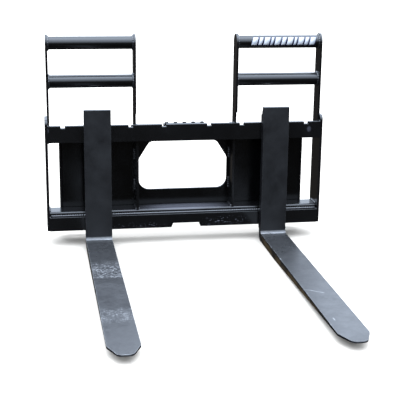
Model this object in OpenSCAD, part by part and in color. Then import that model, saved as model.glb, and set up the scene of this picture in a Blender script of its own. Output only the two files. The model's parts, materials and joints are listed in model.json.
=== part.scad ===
// Pallet fork attachment: a carriage frame with a quick-attach rear face, two load
// guards, and two hook-on forks that slide along the frame and lock with spring pins.
// X runs to the right, Y away from the fork tips and Z up. The origin is on the floor,
// under the middle of the whole attachment; inside the modules Y = 0 is the front face
// of the two fork bars, and in_frame() moves the finished piece to the origin.

/* [Carriage frame] */
// Overall width over the end plates
frame_w = 1067; // [1060:1:1100]
// Thickness of the plates
plate_t = 9.5; // [8:0.5:10]
// Thickness of the two fork bars
bar_t = 16; // [14:0.5:16]
// Bottom of the lower bar to the top of the upper bar
carriage_h = 407; // [404:1:410]
// Height of the upper fork bar
top_bar_h = 64; // [58:1:70]
// Height of the lower fork bar
low_bar_h = 54; // [52:1:64]
// Height of the lower bar above the floor
low_bar_z = 60; // [60:1:64]
// Height of the rounded ears of the end plates above the upper bar
ear_h = 24; // [20:1:28]
// Height of the cross tube behind the lower bar
tube_h = 50; // [40:1:54]
// Depth of the cross tube
tube_d = 76; // [70:1:80]
// Wall of the cross tube
tube_wall = 6.4; // [4:0.2:8]
// Distance from the centre line to the middle of each inner rib
rib_x = 186.75; // [182:0.25:190]
// Height of the tie plate between the upper bar and the rear plate
tie_z = 425; // [420:1:430]

/* [Notches] */
// Distance from the centre line to the first lock notch
notch_first = 86.5; // [80:0.5:90]
// Distance between two lock notches
notch_pitch = 127; // [125:0.5:127]
// Lock notches on each side of the centre line
notches = 4; // [3:1:4]
// Width of a lock notch
notch_w = 16; // [14:0.5:18]
// Depth of a lock notch
notch_d = 9; // [8:0.5:9]
// Width of the fork removal notch at the bottom edge
gate_w = 115; // [110:1:125]
// Depth of the fork removal notch
gate_d = 16.5; // [16.2:0.1:20]

/* [Quick attach] */
// Width over the edge bars of the rear plate
attach_w = 962; // [940:1:980]
// Top of the rear plate
attach_top = 400; // [395:1:405]
// Width of the window in the rear plate
window_w = 348; // [320:1:348]
// Bottom of the window
window_z = 192; // [150:1:220]
// Height of the window
window_h = 191; // [150:1:195]
// Spacing of the two wedge pin slots
slot_spacing = 844.5; // [840:0.5:850]
// Length of a wedge pin slot
slot_l = 58; // [50:1:64]
// Width of a wedge pin slot
slot_w = 30; // [24:1:32]
// Raised buttons on the tread step
tread_buttons = 5; // [3:1:5]

/* [Load guards] */
// Distance from the centre line to the inner face of each inner upright
guard_x = 190.5; // [190:0.5:196]
// Thickness of an upright
upright_t = 8; // [6:0.5:10]
// Depth of an upright
upright_d = 63.5; // [60:0.5:70]
// Height of the middle of the top tube
top_tube_z = 770; // [740:1:800]
// Height of the middle of the lower tube
mid_tube_z = 627.5; // [600:0.5:660]
// Outer diameter of a guard tube
guard_tube_d = 48.3; // [42:0.1:50]
// Wall of a guard tube
guard_tube_wall = 3.2; // [2.5:0.1:4]

/* [Forks] */
// Distance from the centre line to the middle of each fork
fork_x = 340.5; // [340.5:1:341]
// Width of a fork
fork_w = 100; // [90:1:102]
// Thickness of a fork at the shank
fork_t = 32; // [30:1:35]
// Length of the blade in front of the shank
blade_l = 1085; // [1000:1:1200]
// Height of the shank
shank_h = 530; // [525:1:540]
// Thickness of the blade at its tip
tip_t = 6; // [5:0.5:8]
// Width of the blade across its blunt tip
tip_w = 45; // [30:1:60]
// Width of the fork hooks
hook_w = 90; // [80:1:90]

/* [Lock pins] */
// Diameter of a lock pin
pin_d = 12; // [10:0.5:12]
// Travel of a lock pin, from clear of the bar to the bottom of its notch
pin_travel = 9.5; // [8:0.1:9.5]

/* [Hidden] */
$fn = 96;
left = -1;
right = 1;
past = 1;

frame_black = [0.06, 0.06, 0.07];
fork_grey = [0.30, 0.32, 0.36];
zinc = [0.62, 0.62, 0.60];

inner_x = frame_w / 2 - plate_t;
top_bar_top = low_bar_z + carriage_h;
top_bar_z = top_bar_top - top_bar_h;
ear_top = top_bar_top + ear_h;
ear_r = 20;
foot_r = 6;
tube_z = low_bar_z + 22;
tube_top = tube_z + tube_h;
tube_r = 8;
rear_in = bar_t + tube_d;
rear_out = rear_in + plate_t;
end_back = rear_out + 5.5;
tie_top = tie_z + plate_t;
gate_slope = 7;

edge_in = attach_w / 2 - plate_t;
edge_front = rear_in;
edge_back = rear_out + 26.5;
edge_r = 4.7;
flange_z = 33.5;
flange_top = flange_z + plate_t;
flange_in = 370;
flange_back = rear_out + 54.5;
flange_r = 12;
leg_x = 350;
leg_slope = 25;
hook_top = tie_top + 6.5;
lip_run = 30.5;
window_cut = 43;
window_r = 40;
window_side_h = 123;
step_w = 160;
step_front = bar_t + 34;
step_back = rear_in - 8;
step_top = top_bar_top - 10;
step_t = 6;
button_pitch = 34.5;
button_d = 14;
button_h = 6;

guard_y = bar_t + upright_d / 2;
guard_out = inner_x - upright_t;
relief_y = 34;
relief_z = top_bar_top + 38;
lug_front = 46;
lug_back = 84;
lug_top = tie_top + 22;
bolt_r = 5;
bolt_hole_r = 5.5;
thread_r = 5.05;
bolt_head_t = 6.4;
bolt_head_r = 9.2;
washer_t = 2;
washer_r = 10.5;
bolt_z = tie_top + 12.5;
outer_bolts = [[45, bolt_z], [67.5, bolt_z]];
inner_bolts = [[62, bolt_z]];

fork_back = -0.5;
fork_front = fork_back - fork_t;
tip_y = fork_front - blade_l;
taper_y = -250;
taper_power = 1.1;
taper_steps = 24;
heel_r = 31;
crook_r = 12;
bevel_h = 30;
bevel_d = 12;
tip_l = 66;
tip_r = 20;
bar_gap = 1;
lip_t = 15;
lip_h = 18;
hook_t = 28;
low_hook_t = 21;
hook_r = 8;
hook_back = bar_t + bar_gap + lip_t;

pin_y = 10;
pin_r = pin_d / 2;
pin_gap = 0.15;
hook_bottom = top_bar_top + bar_gap;
hook_up = hook_bottom + hook_t;
collar_t = 3;
collar_r = 8;
collar_z = hook_up - 12;
spring_room_r = 8.2;
stem_r = 3.5;
cap_t = 4;
cap_w = 30;
cap_front = 1;
cap_back = 31;
screw_x = 9;
screw_y = 24;
screw_r = 2.5;
screw_l = 10;
screw_head_r = 4.25;
screw_head_t = 3;
handle_r = 4.5;
handle_l = 44;
handle_z = hook_up + cap_t + pin_travel + 1 + handle_r;
stem_top = handle_z + handle_r;
wire_r = 0.9;
coil_r = 6.4;
coil_turns = 3.5;
coil_rings = 56;
coil_sides = 8;
coil_gap = 0.1;

mid_y = (tip_y + flange_back) / 2;

function notch_x(side, i) = side * (notch_first + i * notch_pitch);

// Points of the arc of radius r that rounds the corner b of the path a, b, c
function fillet(a, b, c, r, steps = 10) =
    r <= 0 ? [b] :
    let (
        u = (a - b) / norm(a - b),
        v = (c - b) / norm(c - b),
        half = acos(u * v) / 2,
        centre = b + (u + v) / norm(u + v) * r / sin(half),
        from = b + u * r / tan(half) - centre,
        to = b + v * r / tan(half) - centre,
        start = atan2(from.y, from.x),
        turn = atan2(to.y, to.x) - start,
        sweep = turn > 180 ? turn - 360 : turn < -180 ? turn + 360 : turn
    )
    [for (i = [0:steps]) centre + r * [cos(start + sweep * i / steps), sin(start + sweep * i / steps)]];

// Outline whose corners are given as [x, y, corner radius]
function rounded(corners) =
    let (n = len(corners), flat = [for (c = corners) [c.x, c.y]])
    [for (i = [0:n - 1]) each fillet(flat[(i + n - 1) % n], flat[i], flat[(i + 1) % n], corners[i].z)];

// Corners of a rectangle with one radius
function rect(x0, y0, x1, y1, r) = [[x0, y0, r], [x1, y0, r], [x1, y1, r], [x0, y1, r]];

module in_frame() {
    translate([0, -mid_y, 0]) children();
}

module block(from, to) {
    translate(from) cube(to - from);
}

// Extrudes a Y-Z outline along X, w wide and centred on x
module along_x(x, w) {
    translate([x - w / 2, 0, 0]) rotate([90, 0, 90]) linear_extrude(w) children();
}

// Extrudes an X-Z outline along Y, from y to y + d
module along_y(y, d) {
    translate([0, y + d, 0]) rotate([90, 0, 0]) linear_extrude(d) children();
}

// Round bar along X between x0 and x1
module rod_x(x0, x1, y, z, r) {
    translate([min(x0, x1), y, z]) rotate([0, 90, 0]) cylinder(h = abs(x1 - x0), r = r);
}

// ---- carriage frame ----

module top_carriage_bar() {
    color(frame_black) in_frame() difference() {
        block([-inner_x, 0, top_bar_z], [inner_x, bar_t, top_bar_top]);
        for (side = [left, right], i = [0:notches - 1])
            translate([notch_x(side, i), 0, 0])
                block([-notch_w / 2, -past, top_bar_top - notch_d], [notch_w / 2, bar_t + past, top_bar_top + past]);
    }
}

module bottom_carriage_bar() {
    color(frame_black) in_frame() along_y(0, bar_t) difference() {
        polygon(rounded(rect(-inner_x, low_bar_z, inner_x, low_bar_z + low_bar_h, 0)));
        polygon(rounded([
            [-gate_w / 2 - gate_slope * past / gate_d, low_bar_z - past, 0],
            [gate_w / 2 + gate_slope * past / gate_d, low_bar_z - past, 0],
            [gate_w / 2 - gate_slope, low_bar_z + gate_d, 3],
            [-gate_w / 2 + gate_slope, low_bar_z + gate_d, 3]
        ]));
    }
}

module lower_cross_tube() {
    color(frame_black) in_frame() along_x(0, 2 * inner_x) difference() {
        polygon(rounded(rect(bar_t, tube_z, rear_in, tube_top, tube_r)));
        polygon(rounded(rect(bar_t + tube_wall, tube_z + tube_wall,
            rear_in - tube_wall, tube_top - tube_wall, tube_r - tube_wall)));
    }
}

module upper_tie_plate() {
    color(frame_black) in_frame() block([-inner_x, bar_t, tie_z], [inner_x, rear_in, tie_top]);
}

module end_plate(side) {
    color(frame_black) in_frame() difference() {
        along_x(side * (inner_x + plate_t / 2), plate_t) polygon(rounded([
            [0, low_bar_z, foot_r],
            [end_back, low_bar_z, foot_r],
            [end_back, ear_top, ear_r],
            [0, ear_top, ear_r]
        ]));
        for (at = outer_bolts)
            rod_x(side * (inner_x - past), side * (frame_w / 2 + past), at.x, at.y, thread_r);
    }
}

module inner_rib(side) {
    color(frame_black) in_frame() translate([side * rib_x, 0, 0])
        block([-plate_t / 2, bar_t, tube_top], [plate_t / 2, rear_in, tie_z]);
}

// ---- quick attach ----

module attach_plate() {
    color(frame_black) in_frame() along_y(rear_in, plate_t) difference() {
        polygon([
            [-edge_in, flange_top], [-leg_x, flange_top], [-leg_x + leg_slope, low_bar_z],
            [leg_x - leg_slope, low_bar_z], [leg_x, flange_top], [edge_in, flange_top],
            [edge_in, attach_top], [-edge_in, attach_top]
        ]);
        polygon(rounded([
            [-window_w / 2, window_z, window_r],
            [window_w / 2, window_z, window_r],
            [window_w / 2, window_z + window_side_h, 20],
            [window_w / 2 - window_cut, window_z + window_h, 25],
            [-window_w / 2 + window_cut, window_z + window_h, 25],
            [-window_w / 2, window_z + window_side_h, 20]
        ]));
    }
}

// Bent top edge: the loader's plate catches in the V under its sloping lip
module attach_hook() {
    lip_y = rear_out + lip_run;
    lip_z = hook_top - lip_run;
    slant = plate_t / sqrt(2);
    color(frame_black) in_frame() along_x(0, attach_w) polygon([
        [rear_in, attach_top], [rear_in, hook_top - 5], [rear_in + 5, hook_top],
        [rear_out, hook_top], [lip_y, lip_z], [lip_y - slant, lip_z - slant],
        [rear_out, lip_z - slant + lip_run - slant], [rear_out, attach_top]
    ]);
}

module attach_edge(side) {
    color(frame_black) in_frame() translate([side * (edge_in + plate_t / 2), 0, flange_top])
        linear_extrude(attach_top - flange_top) polygon(rounded([
            [-plate_t / 2, edge_front, edge_r],
            [plate_t / 2, edge_front, edge_r],
            [plate_t / 2, edge_back, 2],
            [-plate_t / 2, edge_back, 2]
        ]));
}

module attach_flange(side) {
    slot_y = (rear_out + flange_back) / 2;
    reach = (slot_l - slot_w) / 2;
    x_near = side * flange_in;
    x_far = side * attach_w / 2;
    color(frame_black) in_frame() difference() {
        translate([0, 0, flange_z]) linear_extrude(plate_t)
            polygon(rounded([
                [x_near, rear_in, 0], [x_far, rear_in, 0],
                [x_far, flange_back, flange_r], [x_near, flange_back, flange_r]
            ]));
        translate([side * slot_spacing / 2, slot_y, flange_z - past]) {
            for (x = [-reach, reach])
                translate([x, 0, 0]) cylinder(h = plate_t + 2 * past, r = slot_w / 2);
            translate([-reach, -slot_w / 2, 0]) cube([2 * reach, slot_w, plate_t + 2 * past]);
        }
    }
}

module tread_step() {
    color(frame_black) in_frame() {
        along_x(0, step_w) polygon([
            [step_front, tie_top], [step_front + step_t, tie_top],
            [step_front + step_t, step_top - step_t], [step_back - step_t, step_top - step_t],
            [step_back - step_t, tie_top], [step_back, tie_top],
            [step_back, step_top], [step_front, step_top]
        ]);
        for (i = [0:tread_buttons - 1])
            translate([(i - (tread_buttons - 1) / 2) * button_pitch, (step_front + step_back) / 2, step_top])
                cylinder(h = button_h, d = button_d);
    }
}

// ---- load guards ----

// Flat bar on edge with a round top; its foot keeps clear of the fork hooks where relief is true
module upright(x, relief, bolts) {
    foot = relief ? relief_y : bar_t;
    difference() {
        union() {
            along_x(x, upright_t) polygon(rounded([
                [foot, tie_top, 0],
                [bar_t + upright_d, tie_top, 0],
                [bar_t + upright_d, top_tube_z, 0],
                [bar_t, top_tube_z, 0],
                [bar_t, relief_z, 0],
                [foot, relief_z, relief ? 6 : 0]
            ]));
            rod_x(x - upright_t / 2, x + upright_t / 2, guard_y, top_tube_z, upright_d / 2);
        }
        for (at = bolts)
            rod_x(x - upright_t, x + upright_t, at.x, at.y, bolt_hole_r);
    }
}

module guard_inner_upright(side) {
    color(frame_black) in_frame()
        upright(side * (guard_x + upright_t / 2), true, inner_bolts);
}

module guard_outer_upright(side) {
    color(frame_black) in_frame()
        upright(side * (guard_out + upright_t / 2), false, outer_bolts);
}

module guard_tube(side, z) {
    from = side * (guard_x + upright_t);
    to = side * guard_out;
    color(frame_black) in_frame() difference() {
        rod_x(from, to, guard_y, z, guard_tube_d / 2);
        rod_x(from - side * past, to + side * past, guard_y, z, guard_tube_d / 2 - guard_tube_wall);
    }
}

module guard_lug(side) {
    color(frame_black) in_frame() difference() {
        translate([side * (guard_x - plate_t / 2), 0, 0])
            block([-plate_t / 2, lug_front, tie_top], [plate_t / 2, lug_back, lug_top]);
        for (at = inner_bolts)
            rod_x(side * (guard_x - plate_t - past), side * (guard_x + past), at.x, at.y, thread_r);
    }
}

// Hex bolt along X: its head and washer seat on the upright at x_seat, its thread ends at x_tip
module bolt(x_seat, x_tip, at) {
    out = sign(x_seat - x_tip);
    rod_x(x_seat + out * washer_t, x_tip, at.x, at.y, bolt_r);
    translate([x_seat + out * (washer_t + bolt_head_t / 2), at.x, at.y]) rotate([0, 90, 0])
        cylinder(h = bolt_head_t, r = bolt_head_r, center = true, $fn = 6);
}

module guard_bolts() {
    color(frame_black) in_frame() for (side = [left, right]) {
        for (at = outer_bolts)
            bolt(side * guard_out, side * frame_w / 2, at);
        for (at = inner_bolts)
            bolt(side * (guard_x + upright_t), side * (guard_x - plate_t), at);
    }
}

module washer(x_seat, out, at) {
    difference() {
        rod_x(x_seat, x_seat + out * washer_t, at.x, at.y, washer_r);
        rod_x(x_seat - out * past, x_seat + out * (washer_t + past), at.x, at.y, bolt_hole_r);
    }
}

module guard_washers() {
    color(frame_black) in_frame() for (side = [left, right]) {
        for (at = outer_bolts)
            washer(side * guard_out, -side, at);
        for (at = inner_bolts)
            washer(side * (guard_x + upright_t), side, at);
    }
}

// ---- forks ----

// Height of the tapered underside of the blade at the share s of the taper, 0 to 1
function taper_z(s) = (fork_t - tip_t) * pow(s, taper_power);

// Side outline of a fork: the underside rises along the taper to the thin tip
function fork_outline() = concat(
    fillet([taper_y, 0], [fork_back, 0], [fork_back, shank_h], heel_r, 18),
    [[fork_back, shank_h - bevel_h], [fork_back - bevel_d, shank_h], [fork_front, shank_h]],
    fillet([fork_front, shank_h], [fork_front, fork_t], [tip_y, fork_t], crook_r),
    [[tip_y + 2, fork_t], [tip_y, fork_t - 2]],
    [for (i = [taper_steps:-1:0]) [taper_y + (tip_y - taper_y) * i / taper_steps, taper_z(i / taper_steps)]]
);

module fork(side) {
    color(fork_grey) in_frame() intersection() {
        along_x(side * fork_x, fork_w) polygon(fork_outline());
        translate([side * fork_x, 0, -past]) linear_extrude(shank_h + 2 * past) polygon(rounded([
            [-fork_w / 2, past, 0],
            [fork_w / 2, past, 0],
            [fork_w / 2, tip_y + tip_l, tip_r],
            [tip_w / 2, tip_y, tip_r],
            [-tip_w / 2, tip_y, tip_r],
            [-fork_w / 2, tip_y + tip_l, tip_r]
        ]));
    }
}

module top_hook(side) {
    lip_front = bar_t + bar_gap;
    color(frame_black) in_frame() difference() {
        along_x(side * fork_x, hook_w) polygon(rounded([
            [fork_back, hook_bottom, 0],
            [lip_front, hook_bottom, 0],
            [lip_front, hook_bottom - lip_h, 2],
            [hook_back, hook_bottom - lip_h, 3],
            [hook_back, hook_up, hook_r],
            [fork_back, hook_up, 0]
        ]));
        translate([side * fork_x, pin_y, 0]) {
            translate([0, 0, hook_bottom - past]) cylinder(h = hook_t, r = pin_r + pin_gap);
            translate([0, 0, collar_z - pin_travel - 0.5]) cylinder(h = hook_t, r = spring_room_r);
        }
        for (x = [-screw_x, screw_x])
            translate([side * fork_x + x, screw_y, hook_up - screw_l]) cylinder(h = screw_l + past, r = screw_r + 0.05);
    }
}

module bottom_hook(side) {
    top = low_bar_z - bar_gap;
    lip_front = bar_t + bar_gap;
    color(frame_black) in_frame() along_x(side * fork_x, hook_w) polygon(rounded([
        [fork_back, top - low_hook_t, 0],
        [hook_back, top - low_hook_t, hook_r],
        [hook_back, low_bar_z + 16, 3],
        [lip_front, low_bar_z + 16, 2],
        [lip_front, top, 0],
        [fork_back, top, 0]
    ]));
}

// ---- lock pins ----

module lock_cap(side) {
    color(zinc) in_frame() translate([side * fork_x, 0, hook_up]) difference() {
        linear_extrude(cap_t) polygon(rounded(rect(-cap_w / 2, cap_front, cap_w / 2, cap_back, 4)));
        translate([0, pin_y, -past]) cylinder(h = cap_t + 2 * past, r = stem_r + 0.4);
        for (x = [-screw_x, screw_x])
            translate([x, screw_y, -past]) cylinder(h = cap_t + 2 * past, r = screw_r + 0.25);
    }
}

module lock_cap_screws(side) {
    color(zinc) in_frame() for (x = [-screw_x, screw_x])
        translate([side * fork_x + x, screw_y, hook_up]) {
            translate([0, 0, 1 - screw_l]) cylinder(h = screw_l - 1 + cap_t, r = screw_r);
            translate([0, 0, cap_t]) cylinder(h = screw_head_t, r = screw_head_r);
        }
}

// Turned pin: a blunt nose, a collar that the spring pushes on, and a thin stem
module lock_pin(side) {
    nose = 1.5;
    color(zinc) in_frame() translate([side * fork_x, pin_y, 0]) {
        translate([0, 0, hook_bottom]) cylinder(h = nose, r1 = pin_r - nose, r2 = pin_r);
        translate([0, 0, hook_bottom + nose]) cylinder(h = collar_z - hook_bottom - nose, r = pin_r);
        translate([0, 0, collar_z]) cylinder(h = collar_t, r = collar_r);
        translate([0, 0, collar_z + collar_t]) cylinder(h = stem_top - collar_z - collar_t, r = stem_r);
    }
}

module lock_handle(side) {
    reach = handle_l / 2 - handle_r;
    color(zinc) in_frame() translate([side * fork_x, pin_y, handle_z]) difference() {
        union() {
            rotate([0, 90, 0]) cylinder(h = 2 * reach, r = handle_r, center = true);
            for (x = [-reach, reach])
                translate([x, 0, 0]) sphere(r = handle_r);
        }
        cylinder(h = 4 * handle_r, r = stem_r + 0.05, center = true);
    }
}

// Round wire wound on a helix between two heights
module coil(z0, z1) {
    points = [
        for (i = [0:coil_rings]) let (turn = 360 * coil_turns * i / coil_rings)
            for (j = [0:coil_sides - 1]) let (around = 360 * j / coil_sides, r = coil_r + wire_r * cos(around))
                [r * cos(turn), r * sin(turn), z0 + (z1 - z0) * i / coil_rings + wire_r * sin(around)]
    ];
    skin = [
        for (i = [0:coil_rings - 1], j = [0:coil_sides - 1]) let (k = (j + 1) % coil_sides)
            [i * coil_sides + j, i * coil_sides + k, (i + 1) * coil_sides + k, (i + 1) * coil_sides + j]
    ];
    first = [for (j = [coil_sides - 1:-1:0]) j];
    last = [for (j = [0:coil_sides - 1]) coil_rings * coil_sides + j];
    polyhedron(points, concat([first], skin, [last]));
}

module lock_spring(side) {
    color(zinc) in_frame() translate([side * fork_x, pin_y, 0])
        coil(collar_z + collar_t + wire_r + coil_gap, hook_up - wire_r - coil_gap);
}

top_carriage_bar();
bottom_carriage_bar();
lower_cross_tube();
upper_tie_plate();
end_plate(left);  // end_plate_left
end_plate(right);  // end_plate_right
inner_rib(left);  // inner_rib_left
inner_rib(right);  // inner_rib_right
attach_plate();
attach_hook();
attach_edge(left);  // attach_edge_left
attach_edge(right);  // attach_edge_right
attach_flange(left);  // attach_flange_left
attach_flange(right);  // attach_flange_right
tread_step();
guard_inner_upright(left);  // guard_inner_upright_left
guard_inner_upright(right);  // guard_inner_upright_right
guard_outer_upright(left);  // guard_outer_upright_left
guard_outer_upright(right);  // guard_outer_upright_right
guard_tube(left, top_tube_z);  // guard_top_tube_left
guard_tube(right, top_tube_z);  // guard_top_tube_right
guard_tube(left, mid_tube_z);  // guard_mid_tube_left
guard_tube(right, mid_tube_z);  // guard_mid_tube_right
guard_lug(left);  // guard_lug_left
guard_lug(right);  // guard_lug_right
guard_bolts();
guard_washers();
fork(left);  // fork_left
fork(right);  // fork_right
top_hook(left);  // top_hook_left
top_hook(right);  // top_hook_right
bottom_hook(left);  // bottom_hook_left
bottom_hook(right);  // bottom_hook_right
lock_cap(left);  // lock_cap_left
lock_cap(right);  // lock_cap_right
lock_cap_screws(left);  // lock_cap_screws_left
lock_cap_screws(right);  // lock_cap_screws_right
lock_pin(left);  // lock_pin_left
lock_pin(right);  // lock_pin_right
lock_handle(left);  // lock_handle_left
lock_handle(right);  // lock_handle_right
lock_spring(left);  // lock_spring_left
lock_spring(right);  // lock_spring_right
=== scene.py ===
"""Looks of a pallet fork attachment: glossy black carriage and load guards, two semi-matte
hook-on forks, black and zinc-plated hardware, rippled weld beads and a striped decal, on a
pale studio floor. Metres, in the row frame: X right, Y away from the fork tips, Z up."""
import json
import math
import random

import bpy
from mathutils import Matrix, Vector


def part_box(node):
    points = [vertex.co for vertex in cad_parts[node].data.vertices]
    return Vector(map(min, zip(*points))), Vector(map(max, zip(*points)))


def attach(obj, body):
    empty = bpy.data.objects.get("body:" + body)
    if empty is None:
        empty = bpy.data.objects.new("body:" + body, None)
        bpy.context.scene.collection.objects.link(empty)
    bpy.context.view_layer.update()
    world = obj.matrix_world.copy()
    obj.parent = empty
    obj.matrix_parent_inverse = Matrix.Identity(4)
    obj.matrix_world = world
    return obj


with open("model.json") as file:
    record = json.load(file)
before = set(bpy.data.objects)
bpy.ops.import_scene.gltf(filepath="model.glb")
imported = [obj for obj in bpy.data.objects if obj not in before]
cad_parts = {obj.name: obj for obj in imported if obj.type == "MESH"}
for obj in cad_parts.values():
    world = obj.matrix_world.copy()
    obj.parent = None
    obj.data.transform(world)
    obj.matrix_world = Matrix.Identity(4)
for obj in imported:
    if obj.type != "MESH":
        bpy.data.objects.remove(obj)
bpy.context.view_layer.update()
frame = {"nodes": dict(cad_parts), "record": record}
NODES = frame["nodes"]
RNG = random.Random(11)

CAMERA_AT = Vector((-0.574, -3.19825, 1.171))
CAMERA_YAW = 0.169
CAMERA_PITCH = 0.263
CAMERA_ROLL = 0.012
CAMERA_LENS = 89.62

SIDES = (("left", -1), ("right", 1))


# ---- shader helpers ----

class Shader:
    """A node tree in which one call adds a node, sets its values and links its inputs."""

    def __init__(self, tree):
        self.tree = tree
        self.tree.nodes.clear()

    def add(self, kind, inputs=(), **settings):
        node = self.tree.nodes.new(kind)
        for key, value in settings.items():
            setattr(node, key, value)
        for key, value in dict(inputs).items():
            if isinstance(value, bpy.types.NodeSocket):
                self.tree.links.new(value, node.inputs[key])
            else:
                node.inputs[key].default_value = value
        return node

    def coords(self, scale=(1, 1, 1)):
        """Row-frame position in metres, stretched by scale."""
        place = self.add("ShaderNodeTexCoord").outputs["Object"]
        return self.add("ShaderNodeMapping", {"Vector": place, "Scale": scale}).outputs[0]

    def noise(self, scale, detail=4.0, roughness=0.5, stretch=(1, 1, 1)):
        return self.add("ShaderNodeTexNoise", {
            "Vector": self.coords(stretch), "Scale": scale, "Detail": detail, "Roughness": roughness,
        }).outputs[0]

    def remap(self, value, low, high, to_low, to_high):
        return self.add("ShaderNodeMapRange", {
            0: value, 1: low, 2: high, 3: to_low, 4: to_high,
        }, clamp=True).outputs[0]

    def math(self, operation, *values):
        return self.add("ShaderNodeMath", dict(enumerate(values)), operation=operation).outputs[0]

    def mix(self, share, low, high):
        return self.add("ShaderNodeMix", {0: share, 6: low, 7: high}, data_type="RGBA").outputs[2]

    def within(self, value, low, high, soft):
        """1 between low and high, fading to 0 over soft outside them."""
        rise = self.remap(value, low - soft, low, 0, 1)
        fall = self.remap(value, high, high + soft, 1, 0)
        return self.math("MULTIPLY", rise, fall)

    def spot(self, centre, radii):
        """1 in the middle of an ellipsoid, fading to 0 at its surface."""
        place = self.add("ShaderNodeTexCoord").outputs["Object"]
        local = self.add("ShaderNodeMapping", {
            "Vector": place, "Location": centre, "Scale": radii,
        }, vector_type="TEXTURE").outputs[0]
        far = self.add("ShaderNodeVectorMath", {0: local}, operation="LENGTH").outputs["Value"]
        return self.remap(far, 0.45, 1, 1, 0)

    def edges(self, radius):
        """0 on flat faces, growing to 1 at sharp edges, within radius of them."""
        rounded = self.add("ShaderNodeBevel", {"Radius": radius}, samples=6).outputs[0]
        flat = self.add("ShaderNodeNewGeometry").outputs["Normal"]
        dot = self.add("ShaderNodeVectorMath", {0: rounded, 1: flat}, operation="DOT_PRODUCT")
        return self.remap(dot.outputs["Value"], 0.99, 0.80, 0, 1)

    def surface(self, **inputs):
        names = {key.replace("_", " "): value for key, value in inputs.items()}
        shader = self.add("ShaderNodeBsdfPrincipled", names)
        self.add("ShaderNodeOutputMaterial", {0: shader.outputs[0]})


def new_material(name):
    material = bpy.data.materials.new(name)
    material.use_nodes = True
    return material, Shader(material.node_tree)


def grey(level, blue=1.0):
    return (level, level, level * blue, 1)


# Paler colour for rear-facing faces: painted light that keeps the backs from going black.
REAR_PAINTED_LIGHT = (0.0125, 0.0122, 0.0120, 1)


def powder_coat(name, base, dust, rough_low, rough_high, peel=0.10, pale_patches=(), ior=1.5):
    """Sprayed black paint: orange peel, rubbed edges, a film of dust, and painted light that makes
    rear-facing faces paler.

    The patches are paler areas, each (centre, radii, level, grain): grain 0 is even, 1 is speckled; on the
    bars they are wear, on the cross tube a painted patch of light."""
    material, s = new_material(name)
    cloud = s.noise(7, 6, 0.6)
    film = s.remap(cloud, 0.35, 0.75, 0, 0.5)
    facing = s.add("ShaderNodeSeparateXYZ", {0: s.add("ShaderNodeNewGeometry").outputs["Normal"]})
    rearward = s.remap(facing.outputs[1], 0.3, 0.9, 0, 0.9)
    # Painted light: rear-facing faces get a paler colour.
    painted_rear_light = s.math("MULTIPLY", rearward, s.remap(cloud, 0.2, 0.8, 0.5, 1))
    rub = s.math("MULTIPLY", s.edges(0.0016), s.remap(s.noise(60, 5), 0.35, 0.65, 0.1, 0.8))
    colour = s.mix(film, grey(base, 1.06), grey(dust, 1.03))
    # painted light on rear-facing faces
    colour = s.mix(painted_rear_light, colour, REAR_PAINTED_LIGHT)
    colour = s.mix(rub, colour, grey(dust * 4, 1.05))
    for centre, radii, level, grain in pale_patches:
        speckle = s.remap(s.noise(230, 3, 0.5, (0.7, 1, 1)), 0.63, 0.69, 1 - grain, 1)
        colour = s.mix(s.math("MULTIPLY", s.spot(centre, radii), speckle), colour, grey(level, 1.16))
    rough = s.remap(s.noise(16, 5, 0.6), 0.3, 0.7, rough_low, rough_high)
    skin = s.math("ADD", s.noise(620, 2), s.math("MULTIPLY", s.noise(40, 3), 1.5))
    bump = s.add("ShaderNodeBump", {"Height": skin, "Strength": peel, "Distance": 0.0004})
    s.surface(Base_Color=colour, Roughness=rough, Normal=bump.outputs[0], IOR=ior)
    return material


# Marks and painted light on the blades. The scratch lies where y + SCRATCH_SLOPE * x is inside SCRATCH.
SCRATCH_SLOPE = 0.72
SCRATCH = (0.0172, 0.0212)
SCRATCH_X = (0.292, 0.348)
FLECKS = (
    ((0.3136, -0.460, 0.032), (0.003, 0.014, 0.004)),
    ((0.2900, 0.127, 0.032), (0.005, 0.012, 0.004)),
)
TIP_BAND_Y = (-0.375, -0.300)
HEEL_BAND_START = (0.000, 0.010)
HEEL_BAND_END = (0.130, 0.190)
# Top faces turn paler toward the tips: painted light.
TIP_PAINTED_LIGHT_Y = (0.15, -0.10)
GLOSSY_HEEL_Y = (0.16, 0.30)
BLADE_END_Y = (0.440, 0.447)
BLADE_TOP_Z = (0.024, 0.036)
# Height of the pale line along the crook: painted highlight.
CROOK_HIGHLIGHT_Z = (0.034, 0.040)
RUST_Z = (0.002, 0.022)
RUST = (0.060, 0.038, 0.016, 1)


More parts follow.
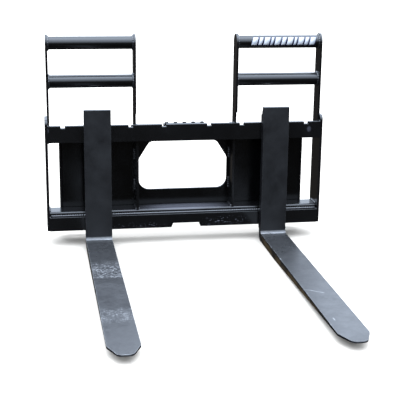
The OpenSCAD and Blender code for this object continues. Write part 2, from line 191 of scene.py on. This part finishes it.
def fork_paint():
    """Semi-matte charcoal paint on forged forks: scuffed bands, scratches, rust on the sides, and painted
    light: highlights on the rims, the crook and the rubbed edges, top faces paler toward the tips, sides
    darkened.
    """
    material, s = new_material("fork_steel")
    at = s.add("ShaderNodeSeparateXYZ", {0: s.coords()})
    x, y, z = at.outputs[0], at.outputs[1], at.outputs[2]
    facing = s.add("ShaderNodeSeparateXYZ", {0: s.add("ShaderNodeNewGeometry").outputs["Normal"]})
    across, up = s.math("ABSOLUTE", facing.outputs[0]), facing.outputs[2]
    on_left = s.math("LESS_THAN", x, 0.0)
    on_right = s.math("SUBTRACT", 1.0, on_left)
    on_top = s.within(z, *BLADE_TOP_Z, 0.006)
    on_blade = s.remap(y, *BLADE_END_Y, 1, 0)

    band_heel = s.math("MULTIPLY", s.remap(y, *HEEL_BAND_START, 0, 1), s.remap(y, *HEEL_BAND_END, 1, 0))
    band_tip = s.math("MULTIPLY", s.within(y, *TIP_BAND_Y, 0.03), 0.5)
    bands = s.math("MULTIPLY", s.math("MAXIMUM", band_heel, band_tip), on_left)
    bands = s.math("MULTIPLY", bands, on_top)
    haze = s.math("MULTIPLY", bands, s.remap(s.noise(30, 6, 0.6), 0.35, 0.65, 0, 1))
    chips = s.math("MULTIPLY", bands, s.remap(s.noise(170, 6, 0.75, (0.8, 1, 1)), 0.535, 0.60, 0, 1))
    pits = s.math("MULTIPLY", bands, s.remap(s.noise(120, 5, 0.65, (0.7, 1, 1)), 0.44, 0.39, 0, 1))
    drag = s.remap(s.noise(190, 3, 0.6, (1, 0.035, 1)), 0.62, 0.72, 0, 1)
    patch = s.remap(s.noise(9, 4), 0.45, 0.65, 0, 1)
    scratches = s.math("MULTIPLY", s.math("MULTIPLY", drag, patch), on_top)

    # Rubbed edges, made paler also as a painted highlight.
    rub = s.math("MULTIPLY", s.edges(0.0022), s.remap(s.noise(45, 5), 0.35, 0.65, 0.15, 1))
    # Pale top rims of the blades: painted highlight.
    painted_rim_highlight = s.math("MULTIPLY", s.remap(up, 0.74, 0.84, 0, 1), s.remap(up, 0.990, 0.95, 0, 1))
    painted_rim_highlight = s.math("MULTIPLY", painted_rim_highlight, on_blade)
    painted_rim_highlight = s.math("MULTIPLY", painted_rim_highlight, s.remap(s.noise(24, 5), 0.35, 0.6, 0.35, 1))
    # Pale line along the crook: painted highlight.
    painted_crook_highlight = s.math("MULTIPLY", s.within(z, *CROOK_HIGHLIGHT_Z, 0.003), s.remap(s.noise(70, 4), 0.3, 0.6, 0.5, 1))

    line = s.within(s.math("MULTIPLY_ADD", x, SCRATCH_SLOPE, y), *SCRATCH, 0.0015)
    line = s.math("MULTIPLY", line, s.within(x, *SCRATCH_X, 0.004))
    line = s.math("MULTIPLY", line, s.remap(s.noise(38, 4, 0.6), 0.35, 0.55, 0.35, 1))
    for centre, radii in FLECKS:
        line = s.math("MAXIMUM", line, s.spot(centre, radii))
    line = s.math("MULTIPLY", s.math("MULTIPLY", line, on_right), on_top)

    flank = s.math("MULTIPLY", s.remap(across, 0.80, 0.95, 0, 1), on_blade)
    rust = s.math("MULTIPLY", flank, s.remap(s.noise(14, 5, 0.6, (1, 0.4, 1)), 0.38, 0.52, 0, 1))
    rust = s.math("MULTIPLY", rust, s.within(z, *RUST_Z, 0.004))

    colour = s.mix(s.remap(s.noise(5, 6, 0.6), 0.3, 0.7, 0, 1), grey(0.0032, 1.1), grey(0.0062, 1.1))
    # Top faces paler toward the tips: painted light.
    colour = s.mix(s.math("MULTIPLY", on_top, s.remap(y, *TIP_PAINTED_LIGHT_Y, 0, 1)), colour, grey(0.010, 1.1))
    # Side faces of the blades darkened: painted shade.
    colour = s.mix(s.math("MULTIPLY", flank, 0.7), colour, grey(0.0015))
    colour = s.mix(s.math("MULTIPLY", haze, 0.5), colour, grey(0.040, 1.1))
    colour = s.mix(s.math("MULTIPLY", chips, 0.85), colour, grey(0.27, 1.0))
    colour = s.mix(s.math("MULTIPLY", line, 0.7), colour, grey(0.24, 1.0))
    colour = s.mix(s.math("MULTIPLY", rust, 0.9), colour, RUST)
    colour = s.mix(s.math("MULTIPLY", scratches, 0.4), colour, grey(0.07, 1.08))
    # edge wear and painted highlight
    colour = s.mix(s.math("MULTIPLY", rub, 0.6), colour, grey(0.12, 1.05))
    # painted highlight on the top rims
    colour = s.mix(s.math("MULTIPLY", painted_rim_highlight, 0.8), colour, grey(0.50, 1.02))
    # painted highlight along the crook
    colour = s.mix(s.math("MULTIPLY", painted_crook_highlight, 0.6), colour, grey(0.10, 1.0))
    rough = s.remap(s.noise(13, 6, 0.65), 0.3, 0.7, 0.28, 0.47)
    rough = s.math("ADD", rough, s.math("MULTIPLY", chips, 0.16))
    rough = s.math("SUBTRACT", rough, s.math("MULTIPLY", flank, 0.16))
    heel = s.math("MULTIPLY", s.remap(y, *GLOSSY_HEEL_Y, 0, 1), on_blade)
    rough = s.math("SUBTRACT", rough, s.math("MULTIPLY", heel, 0.14))
    skin = s.math("ADD", s.noise(420, 3), s.math("MULTIPLY", s.noise(34, 4), 2.0))
    skin = s.math("ADD", skin, s.math("MULTIPLY", chips, 2.5))
    skin = s.math("SUBTRACT", skin, s.math("MULTIPLY", pits, 4.0))
    bump = s.add("ShaderNodeBump", {"Height": skin, "Strength": 0.16, "Distance": 0.0005})
    s.surface(Base_Color=colour, Roughness=rough, Normal=bump.outputs[0], IOR=1.5)
    return material


def plated(name, level, blue, rough_low, rough_high):
    """Bare plated steel with cloudy spangle and fine turning marks."""
    material, s = new_material(name)
    cloud = s.noise(120, 5, 0.6)
    colour = s.mix(s.remap(cloud, 0.3, 0.7, 0, 1), grey(level * 0.88, blue), grey(level, blue))
    rough = s.remap(s.noise(260, 4), 0.3, 0.7, rough_low, rough_high)
    turned = s.noise(900, 2, 0.5, (1, 1, 4))
    bump = s.add("ShaderNodeBump", {"Height": turned, "Strength": 0.05, "Distance": 0.0002})
    s.surface(Base_Color=colour, Metallic=1.0, Roughness=rough, Normal=bump.outputs[0])
    return material


def decal_film(name, colour, worn):
    """Printed vinyl: flat ink, faint mottling and a soft sheen."""
    material, s = new_material(name)
    tint = s.mix(s.remap(s.noise(90, 5), 0.45, 0.75, 0, 0.6), colour, worn)
    rough = s.remap(s.noise(150, 3), 0.3, 0.7, 0.30, 0.42)
    s.surface(Base_Color=tint, Roughness=rough)
    return material


ANY_DEPTH = 5.0
BAR_MARKS = (
    ((0.479, 0, 0.438), (0.010, ANY_DEPTH, 0.014), 0.035, 0),
    ((-0.525, 0, 0.451), (0.008, ANY_DEPTH, 0.012), 0.030, 0),
    ((0.150, 0, 0.080), (0.110, ANY_DEPTH, 0.024), 0.120, 1),
    ((-0.20, 0, 0.072), (0.130, ANY_DEPTH, 0.016), 0.080, 1),
)
# A painted patch of light on top of the cross tube between the ribs, where light falls through the window.
TUBE_PAINTED_LIGHT_PATCH = (((0, 0.525, 0.134), (0.200, 0.060, 0.012), 0.065, 0),)
PAINT = powder_coat("frame_paint", 0.0022, 0.0050, 0.12, 0.20)
BAR_PAINT = powder_coat("frame_paint_bar", 0.0022, 0.0050, 0.14, 0.22, pale_patches=BAR_MARKS)
# Cross tube paint carrying the painted patch of light.
TUBE_PAINT_PAINTED_LIGHT = powder_coat("frame_paint_tube_painted_light", 0.0022, 0.0050, 0.14, 0.22, pale_patches=TUBE_PAINTED_LIGHT_PATCH)
# The frame paint made darker for the recessed rear and tie plates: painted shade.
REAR_PAINTED_SHADE = powder_coat("frame_paint_rear_painted_shade", 0.0009, 0.0024, 0.15, 0.22, ior=1.42)
BEAD_PAINT = powder_coat("frame_paint_weld", 0.0120, 0.0300, 0.10, 0.18, 0.04, ior=1.75)
HARDWARE = powder_coat("black_hardware", 0.0060, 0.0150, 0.30, 0.42)
FORK = fork_paint()
ZINC = plated("zinc_hardware", 0.46, 0.98, 0.26, 0.40)
SPRING = plated("spring_steel", 0.30, 1.02, 0.28, 0.42)
WHITE_FILM = decal_film("decal_white", (0.47, 0.48, 0.49, 1), (0.20, 0.23, 0.29, 1))
BLUE_FILM = decal_film("decal_blue", (0.010, 0.018, 0.075, 1), (0.02, 0.03, 0.09, 1))
LOOKS = {
    "frame_paint": PAINT, "black_hardware": HARDWARE, "fork_steel": FORK,
    "zinc_hardware": ZINC, "spring_steel": SPRING,
}
OWN_LOOKS = {
    "top_carriage_bar": BAR_PAINT, "bottom_carriage_bar": BAR_PAINT, "lower_cross_tube": TUBE_PAINT_PAINTED_LIGHT,
    "attach_plate": REAR_PAINTED_SHADE, "upper_tie_plate": REAR_PAINTED_SHADE,
}


# ---- CAD nodes ----

def smooth_group(angle):
    """Node group that smooths the shading over every edge flatter than angle."""
    group = bpy.data.node_groups.new("smooth_by_angle", "GeometryNodeTree")
    for direction in ("INPUT", "OUTPUT"):
        group.interface.new_socket("Geometry", in_out=direction, socket_type="NodeSocketGeometry")
    add, link = group.nodes.new, group.links.new
    start, end = add("NodeGroupInput"), add("NodeGroupOutput")
    faces, lines = add("GeometryNodeSetShadeSmooth"), add("GeometryNodeSetShadeSmooth")
    lines.domain = "EDGE"
    bend, flat = add("GeometryNodeInputMeshEdgeAngle"), add("FunctionNodeCompare")
    flat.operation = "LESS_THAN"
    flat.inputs["B"].default_value = angle
    link(start.outputs[0], faces.inputs[0])
    link(faces.outputs[0], lines.inputs[0])
    link(bend.outputs["Unsigned Angle"], flat.inputs["A"])
    link(flat.outputs[0], lines.inputs["Shade Smooth"])
    link(lines.outputs[0], end.inputs[0])
    return group


SMOOTH_BELOW = math.radians(35)
BEVEL_ABOVE = math.radians(50)
COPLANAR = math.radians(0.3)
PLAIN_BEVEL = 0.0010
SMOOTH = smooth_group(SMOOTH_BELOW)
BEVELS = {
    "fork_": 0.0026, "bottom_carriage": 0.0014, "top_carriage": 0.0014, "top_hook": 0.0012,
    "bottom_hook": 0.0012, "guard_inner": 0.0011, "guard_outer": 0.0011,
}
PLAIN_EDGES = ("lock_spring", "lock_pin", "lock_handle", "guard_washers", "lock_cap_screws")


def finish_node(name, thing, slot):
    """Paint, softened edges and smooth round faces on one CAD node."""
    mesh = thing.data
    mesh.materials.clear()
    mesh.materials.append(OWN_LOOKS.get(name, LOOKS[slot]))
    if "custom_normal" in mesh.attributes:
        mesh.attributes.remove(mesh.attributes["custom_normal"])
    weld = thing.modifiers.new("weld", "WELD")
    weld.merge_threshold = 1e-6
    if not name.startswith(PLAIN_EDGES):
        flat = thing.modifiers.new("flat", "DECIMATE")
        flat.decimate_type = "DISSOLVE"
        flat.angle_limit = COPLANAR
        bevel = thing.modifiers.new("edge", "BEVEL")
        bevel.width = next((w for key, w in BEVELS.items() if name.startswith(key)), PLAIN_BEVEL)
        bevel.segments = 3
        bevel.limit_method = "ANGLE"
        bevel.angle_limit = BEVEL_ABOVE
        bevel.use_clamp_overlap = True
    smooth = thing.modifiers.new("smooth", "NODES")
    smooth.node_group = SMOOTH
    weigh = thing.modifiers.new("weigh", "WEIGHTED_NORMAL")
    weigh.keep_sharp = True
    weigh.weight = 80


slots = {}
for row in frame["record"]["subparts"]:
    slots[row["node"]] = row["material_slot"]
for name, thing in NODES.items():
    finish_node(name, thing, slots[name])


# ---- pieces ----

def add_mesh(name, points, faces, material, body, slot):
    mesh = bpy.data.meshes.new(name)
    mesh.from_pydata([tuple(p) for p in points], [], faces)
    mesh.validate()
    mesh.materials.append(material)
    mesh.shade_smooth()
    thing = bpy.data.objects.new(name, mesh)
    bpy.context.scene.collection.objects.link(thing)
    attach(thing, body)
    return thing


RIPPLE = 0.0090
BEAD_STEPS = 5
BEAD_SIDES = 10
OFF_AXIS = Vector((0.31, 0.17, 0.93))
END_TAPER = 0.45
# How far the middle line of most beads stands off the plate, and the radii of the beads.
SINK = 0.001
HAIR, THIN, FINE, LIGHT, MEDIUM, BROAD, HEAVY = 0.0022, 0.0028, 0.0030, 0.0034, 0.0036, 0.0038, 0.0042


def resample(path, closed):
    """Evenly spaced points along a polyline."""
    corners = list(path) + ([path[0]] if closed else [])
    legs = [(b - a).length for a, b in zip(corners, corners[1:])]
    total = sum(legs)
    count = max(4, round(total / RIPPLE * BEAD_STEPS))
    points, leg, gone = [], 0, 0.0
    for i in range(count + (0 if closed else 1)):
        want = total * i / count
        while leg < len(legs) - 1 and want > gone + legs[leg]:
            gone += legs[leg]
            leg += 1
        points.append(corners[leg].lerp(corners[leg + 1], min(1, (want - gone) / legs[leg])))
    return points


def bead(path, radius, closed=False):
    """Points and faces of one weld bead: overlapping ripples along the path."""
    spine = resample([Vector(p) for p in path], closed)
    count = len(spine)
    points, faces = [], []
    for i, at in enumerate(spine):
        ahead = spine[(i + 1) % count] if closed or i < count - 1 else at
        behind = spine[i - 1] if closed or i > 0 else at
        along = (ahead - behind).normalized()
        side = along.cross(OFF_AXIS).normalized()
        out = along.cross(side)
        phase = (i % BEAD_STEPS) / BEAD_STEPS
        swell = radius * (0.76 + 0.28 * math.sin(math.pi * phase)) * RNG.uniform(0.97, 1.03)
        if not closed and i in (0, count - 1):
            swell *= END_TAPER
        for j in range(BEAD_SIDES):
            turn = 2 * math.pi * j / BEAD_SIDES
            points.append(at + (side * math.cos(turn) + out * math.sin(turn)) * swell)
    for i in range(count if closed else count - 1):
        for j in range(BEAD_SIDES):
            a, b = i * BEAD_SIDES, (i + 1) % count * BEAD_SIDES
            k = (j + 1) % BEAD_SIDES
            faces.append((a + j, a + k, b + k, b + j))
    if not closed:
        faces.append(tuple(range(BEAD_SIDES))[::-1])
        faces.append(tuple((count - 1) * BEAD_SIDES + j for j in range(BEAD_SIDES)))
    return points, faces


def weld(name, beads, body="carriage", slot="frame_paint"):
    """One piece made of several beads, each (path, radius) or (path, radius, closed)."""
    points, faces = [], []
    for job in beads:
        more, skin = bead(*job)
        faces += [tuple(k + len(points) for k in face) for face in skin]
        points += more
    return add_mesh(name, points, faces, BEAD_PAINT, body, slot)


def box(name):
    """Lowest and highest corner of a CAD node."""
    low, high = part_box(name)
    return Vector(low), Vector(high)


def stitches(start, end, length, pitch):
    """Separate short runs between two points."""
    start, end = Vector(start), Vector(end)
    along = (end - start).normalized()
    count = max(1, int((end - start).length / pitch))
    rest = (end - start).length / count
    return [(start + along * (rest * (i + 0.5) - length / 2),
             start + along * (rest * (i + 0.5) + length / 2)) for i in range(count)]


def circle(x, y, z, radius, steps=48):
    return [(x, y + radius * math.cos(2 * math.pi * i / steps),
             z + radius * math.sin(2 * math.pi * i / steps)) for i in range(steps)]


TOP_BAR, LOW_BAR = box("top_carriage_bar"), box("bottom_carriage_bar")
TUBE, TIE = box("lower_cross_tube"), box("upper_tie_plate")
REAR, HOOK = box("attach_plate"), box("attach_hook")


def guard_welds(side):
    """Ring beads where the two guard tubes meet their uprights."""
    rings = []
    for level in ("top", "mid"):
        low, high = box(f"guard_{level}_tube_{side}")
        middle = (low + high) / 2
        radius = (high.z - low.z) / 2 + 0.0012
        for x in (low.x + 0.0016, high.x - 0.0016):
            rings.append((circle(x, middle.y, middle.z, radius), LIGHT, True))
    weld(f"guard_ring_welds_{side}", rings)


def foot_welds(side, sign):
    """Beads at the lug, and where the bars, the tie plate and the tube meet the end plate."""
    low, high = box(f"guard_lug_{side}")
    z = low.z + SINK
    weld(f"guard_lug_welds_{side}", [
        (((x, low.y + 0.003, z), (x, high.y - 0.003, z)), LIGHT) for x in (low.x - SINK, high.x + SINK)
    ])
    plate_low, plate_high = box(f"end_plate_{side}")
    inner = plate_low.x if sign > 0 else plate_high.x
    front, back = TOP_BAR[0].y, TOP_BAR[1].y
    top, under = TOP_BAR[1].z, TOP_BAR[0].z
    low_top, low_under = LOW_BAR[1].z, LOW_BAR[0].z
    x = inner - sign * SINK
    weld(f"end_plate_welds_{side}", [
        (((x, front + 0.002, top), (x, back + 0.05, top)), FINE),
        (((x, front + 0.003, under), (x, back, under)), MEDIUM),
        (((x, back + SINK, under), (x, back + SINK, TIE[0].z)), MEDIUM),
        (((x, back, TIE[0].z), (x, REAR[0].y, TIE[0].z)), MEDIUM),
        (((x, front + 0.003, low_top), (x, back, low_top)), LIGHT),
        (((x, back + 0.006, TUBE[1].z + SINK), (x, TUBE[1].y - 0.006, TUBE[1].z + SINK)), HEAVY),
        (((x, back + 0.006, TUBE[0].z - SINK), (x, TUBE[1].y - 0.006, TUBE[0].z - SINK)), MEDIUM),
        (((x, TUBE[1].y + SINK, TUBE[0].z + 0.006), (x, TUBE[1].y + SINK, TUBE[1].z - 0.006)), MEDIUM),
        (((x, back + SINK, low_under + 0.004), (x, back + SINK, TUBE[0].z - 0.004)), LIGHT),
    ])


def rib_welds(side):
    """Beads round an inner rib: foot, head, front and rear edges."""
    low, high = box(f"inner_rib_{side}")
    runs = []
    for x in (low.x - SINK, high.x + SINK):
        runs += [
            (((x, low.y + 0.008, low.z + SINK), (x, high.y - 0.003, low.z + SINK)), MEDIUM),
            (((x, low.y + 0.003, high.z - SINK), (x, high.y - 0.003, high.z - SINK)), LIGHT),
            (((x, low.y + SINK, TOP_BAR[0].z + 0.003), (x, low.y + SINK, high.z)), FINE),
        ]
        runs += [(run, LIGHT) for run in stitches(
            (x, high.y - SINK, low.z + 0.02), (x, high.y - SINK, high.z - 0.03), 0.045, 0.10)]
    weld(f"inner_rib_welds_{side}", runs)


def rear_welds():
    """Beads of the quick-attach plate: tube, edge bars, bent hook and flanges."""
    back = REAR[1].y
    y, z = back + 0.0008, HOOK[0].z
    runs = [(((HOOK[0].x + 0.01, y, z), (HOOK[1].x - 0.01, y, z)), HAIR)]
    for side, sign in SIDES:
        edge_low, edge_high = box(f"attach_edge_{side}")
        x = edge_low.x if sign > 0 else edge_high.x
        runs += [(run, MEDIUM) for run in stitches(
            (x - sign * SINK, back + SINK, edge_low.z + 0.01),
            (x - sign * SINK, back + SINK, edge_high.z - 0.02), 0.055, 0.09)]
        low, high = box(f"attach_flange_{side}")
        runs.append((((low.x + 0.012, back + 0.0012, high.z + SINK),
                      (high.x - 0.018, back + 0.0012, high.z + SINK)), BROAD))
    reach, y, z = 0.44, REAR[0].y - 0.0005, TUBE[0].z - SINK
    runs += [(run, BROAD) for run in stitches((-reach, y, z), (reach, y, z), 0.06, 0.12)]
    weld("rear_plate_welds", runs)


def bar_welds():
    """The long bead between the lower bar and its tube, and the stitches along the tie plate."""
    y = TUBE[0].y - 0.0008
    edge = TUBE[1].x - 0.004
    z = LOW_BAR[1].z + 0.0026
    weld("lower_bar_weld", [(((-edge, y, z), (edge, y, z)), HEAVY)])
    y = TIE[0].y + 0.0010
    weld("tie_plate_welds", [(run, LIGHT) for run in stitches(
        (-edge, y, TIE[1].z + SINK), (edge, y, TIE[1].z + SINK), 0.05, 0.11)] + [
        (run, LIGHT) for run in stitches(
            (-edge, y, TIE[0].z - SINK), (edge, y, TIE[0].z - SINK), 0.05, 0.13)])


def step_welds():
    """Stitches along the front and the back of the tread step."""
    low, high = box("tread_step")
    runs = []
    for y in (low.y - 0.0008, high.y + 0.0008):
        runs += [(run, THIN) for run in stitches(
            (low.x + 0.004, y, low.z + SINK), (high.x - 0.004, y, low.z + SINK), 0.03, 0.05)]
    weld("tread_step_welds", runs)


def hook_welds(side):
    """Beads that hold the two hooks on the rear face of a fork shank."""
    low, high = box(f"top_hook_{side}")
    under = TOP_BAR[1].z + 0.004
    y = low.y + 0.0022
    runs = [(((low.x + 0.002, y, high.z + 0.0004), (high.x - 0.002, y, high.z + 0.0004)), THIN)]
    runs += [(((x, y, under), (x, y, high.z - 0.002)), FINE) for x in (low.x - 0.0006, high.x + 0.0006)]
    low, high = box(f"bottom_hook_{side}")
    top = LOW_BAR[0].z - 0.004
    runs += [(((x, y, low.z + 0.002), (x, y, top)), FINE) for x in (low.x - 0.0006, high.x + 0.0006)]
    runs.append((((low.x + 0.002, y, low.z - 0.0004), (high.x - 0.002, y, low.z - 0.0004)), FINE))
    weld(f"hook_welds_{side}", runs, f"{side}_fork", "fork_steel")


for side, sign in SIDES:
    guard_welds(side)
    foot_welds(side, sign)
    rib_welds(side)
    hook_welds(side)
rear_welds()
bar_welds()
step_welds()


# The decal on the right guard: metres, but its widths are millimetres and its turns are degrees.
STRIPE_FROM, STRIPE_TO = 0.252, 0.497
STRIPE_WIDTHS_MM = (20, 13, 20, 9, 20, 15, 20, 9, 20, 13, 20)
STRIPE_SLANT = 0.009
GUARD_TUBE_RADIUS = 0.024
FILM = 0.00006
STRIPE_LOW, STRIPE_HIGH = -27, 48


def stripe_patch(x0, x1, turn_low, turn_high, lift, steps=10):
    """A slanted strip that wraps a guard tube; turns are degrees up from the front."""
    low, high = box("guard_top_tube_right")
    middle = (low + high) / 2
    radius = (high.z - low.z) / 2 + lift
    points, faces = [], []
    for i in range(steps + 1):
        share = i / steps
        turn = math.radians(turn_low + (turn_high - turn_low) * share)
        lean = STRIPE_SLANT * (share - 0.5)
        for x in (x0, x1):
            points.append((x + lean, middle.y - radius * math.cos(turn), middle.z + radius * math.sin(turn)))
        if i:
            k = 2 * i
            faces.append((k - 2, k - 1, k + 1, k))
    return points, faces


def stripes(name, grow, lift, material):
    """A row of slanted strips of set widths, each grown by grow on every side."""
    total = sum(STRIPE_WIDTHS_MM)
    gap = (STRIPE_TO - STRIPE_FROM - total / 1000) / (len(STRIPE_WIDTHS_MM) - 1)
    turn = math.degrees(grow / GUARD_TUBE_RADIUS)
    points, faces, x = [], [], STRIPE_FROM
    for width in STRIPE_WIDTHS_MM:
        far = x + width / 1000
        more, skin = stripe_patch(x - grow, far + grow, STRIPE_LOW - turn, STRIPE_HIGH + turn, lift)
        faces += [tuple(k + len(points) for k in face) for face in skin]
        points += more
        x += width / 1000 + gap
    thing = add_mesh(name, points, faces, material, "carriage", "frame_paint")
    film = thing.modifiers.new("film", "SOLIDIFY")
    film.thickness = FILM
    return thing


stripes("decal_outline", 0.0016, 0.00010, BLUE_FILM)
stripes("decal_stripes", 0.0, 0.00022, WHITE_FILM)


# ---- floor, light and camera ----

FLOOR_SIZE = 40
FLOOR_DROP = 0.0004
FLOOR_COLOUR = (0.505, 0.445, 0.372, 1)


def studio_floor():
    """Pale floor, warm enough to cancel the blue of the sky; glossy and diffuse rays pass through it."""
    mesh = bpy.data.meshes.new("studio_floor")
    corners = [(x * FLOOR_SIZE, y * FLOOR_SIZE, -FLOOR_DROP) for x, y in ((-1, -1), (1, -1), (1, 1), (-1, 1))]
    mesh.from_pydata(corners, [], [(0, 1, 2, 3)])
    floor = bpy.data.objects.new("studio_floor", mesh)
    bpy.context.scene.collection.objects.link(floor)
    material, s = new_material("studio_floor")
    s.surface(Base_Color=FLOOR_COLOUR, Roughness=0.9, Specular_IOR_Level=0.0)
    mesh.materials.append(material)
    floor.visible_glossy = False
    floor.visible_diffuse = False


SKY_STEPS = (
    (0.000, 0.0065), (0.440, 0.0120), (0.496, 0.0270), (0.504, 0.1400), (0.560, 0.2050),
    (0.620, 0.3600), (0.735, 0.7800), (0.866, 1.0600), (0.960, 1.6500), (1.000, 1.6500),
)
SKY_TINT = (0.87, 1.0, 1.20)
GROUND_TINT = (1.06, 1.0, 0.92)
SKY_STRENGTH = 4.6
BACK_DIM = -0.42


def sky():
    """Bright overcast dome above the horizon and a dark one below it; its backdrop shows white."""
    world = bpy.data.worlds.new("studio")
    bpy.context.scene.world = world
    world.use_nodes = True
    s = Shader(world.node_tree)
    way = s.add("ShaderNodeTexCoord").outputs["Generated"]
    height = s.add("ShaderNodeSeparateXYZ", {0: way}).outputs[2]
    ramp = s.add("ShaderNodeValToRGB", {0: s.remap(height, -1, 1, 0, 1)})
    stops = ramp.color_ramp.elements
    while len(stops) < len(SKY_STEPS):
        stops.new(0.5)
    for stop, (place, level) in zip(stops, SKY_STEPS):
        tint = SKY_TINT if place > 0.5 else GROUND_TINT
        stop.position = place
        stop.color = (*(level * part for part in tint), 1)
    rearward = s.add("ShaderNodeSeparateXYZ", {0: way}).outputs[1]
    above = s.remap(height, 0.45, 0.75, 0, 1)
    lift = s.math("MULTIPLY_ADD", s.remap(rearward, 0.1, 0.45, 0, BACK_DIM), above, 1.0)
    glow = s.add("ShaderNodeBackground", {
        0: ramp.outputs[0], 1: s.math("MULTIPLY", lift, SKY_STRENGTH),
    })
    plain = s.add("ShaderNodeBackground", {0: grey(1.0), 1: 1.0})
    seen = s.add("ShaderNodeLightPath").outputs["Is Camera Ray"]
    both = s.add("ShaderNodeMixShader", {0: seen, 1: glow.outputs[0], 2: plain.outputs[0]})
    s.add("ShaderNodeOutputWorld", {0: both.outputs[0]})


def camera():
    """Camera from its position, yaw, pitch down and roll."""
    yaw, pitch, roll = CAMERA_YAW, CAMERA_PITCH, CAMERA_ROLL
    ahead = Vector((math.sin(yaw) * math.cos(pitch), math.cos(yaw) * math.cos(pitch), -math.sin(pitch)))
    level = Vector((math.cos(yaw), -math.sin(yaw), 0))
    upward = level.cross(ahead)
    right = level * math.cos(roll) + upward * math.sin(roll)
    up = upward * math.cos(roll) - level * math.sin(roll)
    data = bpy.data.cameras.new("camera")
    data.lens = CAMERA_LENS
    data.sensor_width = 36
    data.clip_end = 200
    thing = bpy.data.objects.new("camera", data)
    bpy.context.scene.collection.objects.link(thing)
    turn = Matrix((right, up, -ahead)).transposed().to_4x4()
    thing.matrix_world = Matrix.Translation(CAMERA_AT) @ turn
    bpy.context.scene.camera = thing


studio_floor()
sky()
camera()
scene = bpy.context.scene
scene.view_settings.view_transform = "Standard"
scene.view_settings.look = "None"
scene.view_settings.exposure = 0
scene.view_settings.gamma = 1
